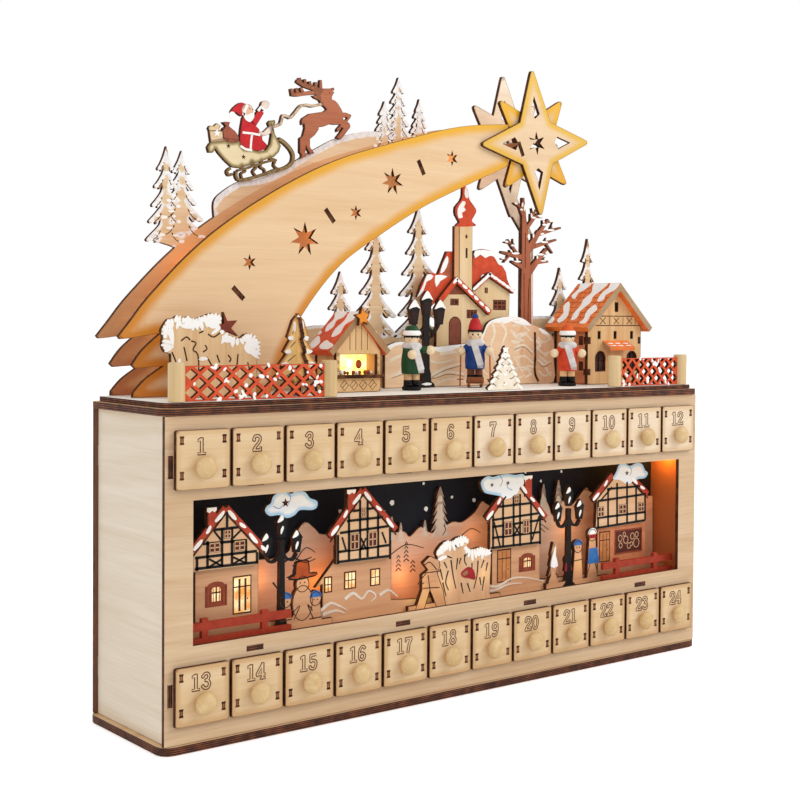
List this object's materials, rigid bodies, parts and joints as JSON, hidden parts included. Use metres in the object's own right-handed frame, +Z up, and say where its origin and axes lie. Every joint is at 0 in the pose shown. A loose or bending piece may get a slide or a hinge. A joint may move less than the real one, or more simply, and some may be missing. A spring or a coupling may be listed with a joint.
{
  "type": "candle arch advent calendar",
  "caption": "Wooden comet light arch over a village scene, standing on a cabinet of numbered advent drawers with knobs and a lit diorama window.",
  "frame": {"origin": "middle of the base plate's underside", "axes": "+Z up, the drawer fronts face -Y, +X runs along the length to the viewer's right"},
  "size_m": [0.4818, 0.1113, 0.455],
  "materials": {
    "birch": "bare sanded plywood",
    "pale_birch": "bare plywood",
    "laser_edge": "plywood with scorched cut edges",
    "snow_paint": "matt white paint on wood",
    "comet_paint": "yellow airbrushed edge on bare wood",
    "star_paint": "yellow airbrushed edge on bare wood",
    "rear_comet": "stained plywood",
    "red_paint": "red stain",
    "roof_paint": "orange-red roof paint on wood",
    "bark": "brown stain",
    "night_print": "dark printed board",
    "black_paint": "black paint on wood",
    "green_paint": "satin paint on turned wood",
    "blue_paint": "satin paint on turned wood",
    "orange_paint": "satin paint on turned wood",
    "sleigh_paint": "airbrushed print on wood",
    "black_plastic": "moulded",
    "lamp_plastic": "clear lamps on a strip"
  },
  "bodies": {
    "case": {"base_plate": "laser_edge", "top_plate": "laser_edge", "snow_plate": "snow_paint", "front_panel": "birch", "back_panel": "pale_birch", "side_panel_left": "pale_birch", "side_panel_right": "pale_birch", "lower_rack": "pale_birch", "upper_rack": "pale_birch", "sky_backdrop": "night_print", "diorama_hills": "birch", "diorama_village": "birch", "diorama_fence_left": "red_paint", "diorama_fence_right": "red_paint", "light_strip": "lamp_plastic", "comet_front": "comet_paint", "comet_back": "rear_comet", "star_front": "star_paint", "santa_sleigh": "sleigh_paint", "fence_left": "red_paint", "fence_right": "red_paint", "snow_bush": "birch", "cross_fir": "birch", "market_stall": "birch", "village_house": "roof_paint", "church": "birch", "bare_tree": "bark", "snow_hills": "birch", "street_lamp": "black_paint", "white_fir": "snow_paint", "figurine_green": "green_paint", "figurine_blue": "blue_paint", "figurine_orange": "orange_paint", "battery_box": "black_plastic"},
    "drawer_01_body": {"drawer_01": "birch"},
    "drawer_02_body": {"drawer_02": "birch"},
    "drawer_03_body": {"drawer_03": "birch"},
    "drawer_04_body": {"drawer_04": "birch"},
    "drawer_05_body": {"drawer_05": "birch"},
    "drawer_06_body": {"drawer_06": "birch"},
    "drawer_07_body": {"drawer_07": "birch"},
    "drawer_08_body": {"drawer_08": "birch"},
    "drawer_09_body": {"drawer_09": "birch"},
    "drawer_10_body": {"drawer_10": "birch"},
    "drawer_11_body": {"drawer_11": "birch"},
    "drawer_12_body": {"drawer_12": "birch"},
    "drawer_13_body": {"drawer_13": "birch"},
    "drawer_14_body": {"drawer_14": "birch"},
    "drawer_15_body": {"drawer_15": "birch"},
    "drawer_16_body": {"drawer_16": "birch"},
    "drawer_17_body": {"drawer_17": "birch"},
    "drawer_18_body": {"drawer_18": "birch"},
    "drawer_19_body": {"drawer_19": "birch"},
    "drawer_20_body": {"drawer_20": "birch"},
    "drawer_21_body": {"drawer_21": "birch"},
    "drawer_22_body": {"drawer_22": "birch"},
    "drawer_23_body": {"drawer_23": "birch"},
    "drawer_24_body": {"drawer_24": "birch"},
    "battery_cover_body": {"battery_cover": "black_plastic"},
    "power_switch_body": {"power_switch": "black_plastic"}
  },
  "joints": [
    {"name": "drawer_01_slide", "type": "slide", "parent": "case", "child": "drawer_01_body", "axis": [0, -1, 0], "range_m": [0, 0.07]},
    {"name": "drawer_02_slide", "type": "slide", "parent": "case", "child": "drawer_02_body", "axis": [0, -1, 0], "range_m": [0, 0.07]},
    {"name": "drawer_03_slide", "type": "slide", "parent": "case", "child": "drawer_03_body", "axis": [0, -1, 0], "range_m": [0, 0.07]},
    {"name": "drawer_04_slide", "type": "slide", "parent": "case", "child": "drawer_04_body", "axis": [0, -1, 0], "range_m": [0, 0.07]},
    {"name": "drawer_05_slide", "type": "slide", "parent": "case", "child": "drawer_05_body", "axis": [0, -1, 0], "range_m": [0, 0.07]},
    {"name": "drawer_06_slide", "type": "slide", "parent": "case", "child": "drawer_06_body", "axis": [0, -1, 0], "range_m": [0, 0.07]},
    {"name": "drawer_07_slide", "type": "slide", "parent": "case", "child": "drawer_07_body", "axis": [0, -1, 0], "range_m": [0, 0.07]},
    {"name": "drawer_08_slide", "type": "slide", "parent": "case", "child": "drawer_08_body", "axis": [0, -1, 0], "range_m": [0, 0.07]},
    {"name": "drawer_09_slide", "type": "slide", "parent": "case", "child": "drawer_09_body", "axis": [0, -1, 0], "range_m": [0, 0.07]},
    {"name": "drawer_10_slide", "type": "slide", "parent": "case", "child": "drawer_10_body", "axis": [0, -1, 0], "range_m": [0, 0.07]},
    {"name": "drawer_11_slide", "type": "slide", "parent": "case", "child": "drawer_11_body", "axis": [0, -1, 0], "range_m": [0, 0.07]},
    {"name": "drawer_12_slide", "type": "slide", "parent": "case", "child": "drawer_12_body", "axis": [0, -1, 0], "range_m": [0, 0.07]},
    {"name": "drawer_13_slide", "type": "slide", "parent": "case", "child": "drawer_13_body", "axis": [0, -1, 0], "range_m": [0, 0.07]},
    {"name": "drawer_14_slide", "type": "slide", "parent": "case", "child": "drawer_14_body", "axis": [0, -1, 0], "range_m": [0, 0.07]},
    {"name": "drawer_15_slide", "type": "slide", "parent": "case", "child": "drawer_15_body", "axis": [0, -1, 0], "range_m": [0, 0.07]},
    {"name": "drawer_16_slide", "type": "slide", "parent": "case", "child": "drawer_16_body", "axis": [0, -1, 0], "range_m": [0, 0.07]},
    {"name": "drawer_17_slide", "type": "slide", "parent": "case", "child": "drawer_17_body", "axis": [0, -1, 0], "range_m": [0, 0.07]},
    {"name": "drawer_18_slide", "type": "slide", "parent": "case", "child": "drawer_18_body", "axis": [0, -1, 0], "range_m": [0, 0.07]},
    {"name": "drawer_19_slide", "type": "slide", "parent": "case", "child": "drawer_19_body", "axis": [0, -1, 0], "range_m": [0, 0.07]},
    {"name": "drawer_20_slide", "type": "slide", "parent": "case", "child": "drawer_20_body", "axis": [0, -1, 0], "range_m": [0, 0.07]},
    {"name": "drawer_21_slide", "type": "slide", "parent": "case", "child": "drawer_21_body", "axis": [0, -1, 0], "range_m": [0, 0.07]},
    {"name": "drawer_22_slide", "type": "slide", "parent": "case", "child": "drawer_22_body", "axis": [0, -1, 0], "range_m": [0, 0.07]},
    {"name": "drawer_23_slide", "type": "slide", "parent": "case", "child": "drawer_23_body", "axis": [0, -1, 0], "range_m": [0, 0.07]},
    {"name": "drawer_24_slide", "type": "slide", "parent": "case", "child": "drawer_24_body", "axis": [0, -1, 0], "range_m": [0, 0.07]},
    {"name": "battery_cover_slide", "type": "slide", "parent": "case", "child": "battery_cover_body", "axis": [0, 0, -1], "range_m": [0, 0.055]},
    {"name": "power_switch_slide", "type": "slide", "parent": "case", "child": "power_switch_body", "axis": [1, 0, 0], "range_m": [0, 0.004]}
  ]
}
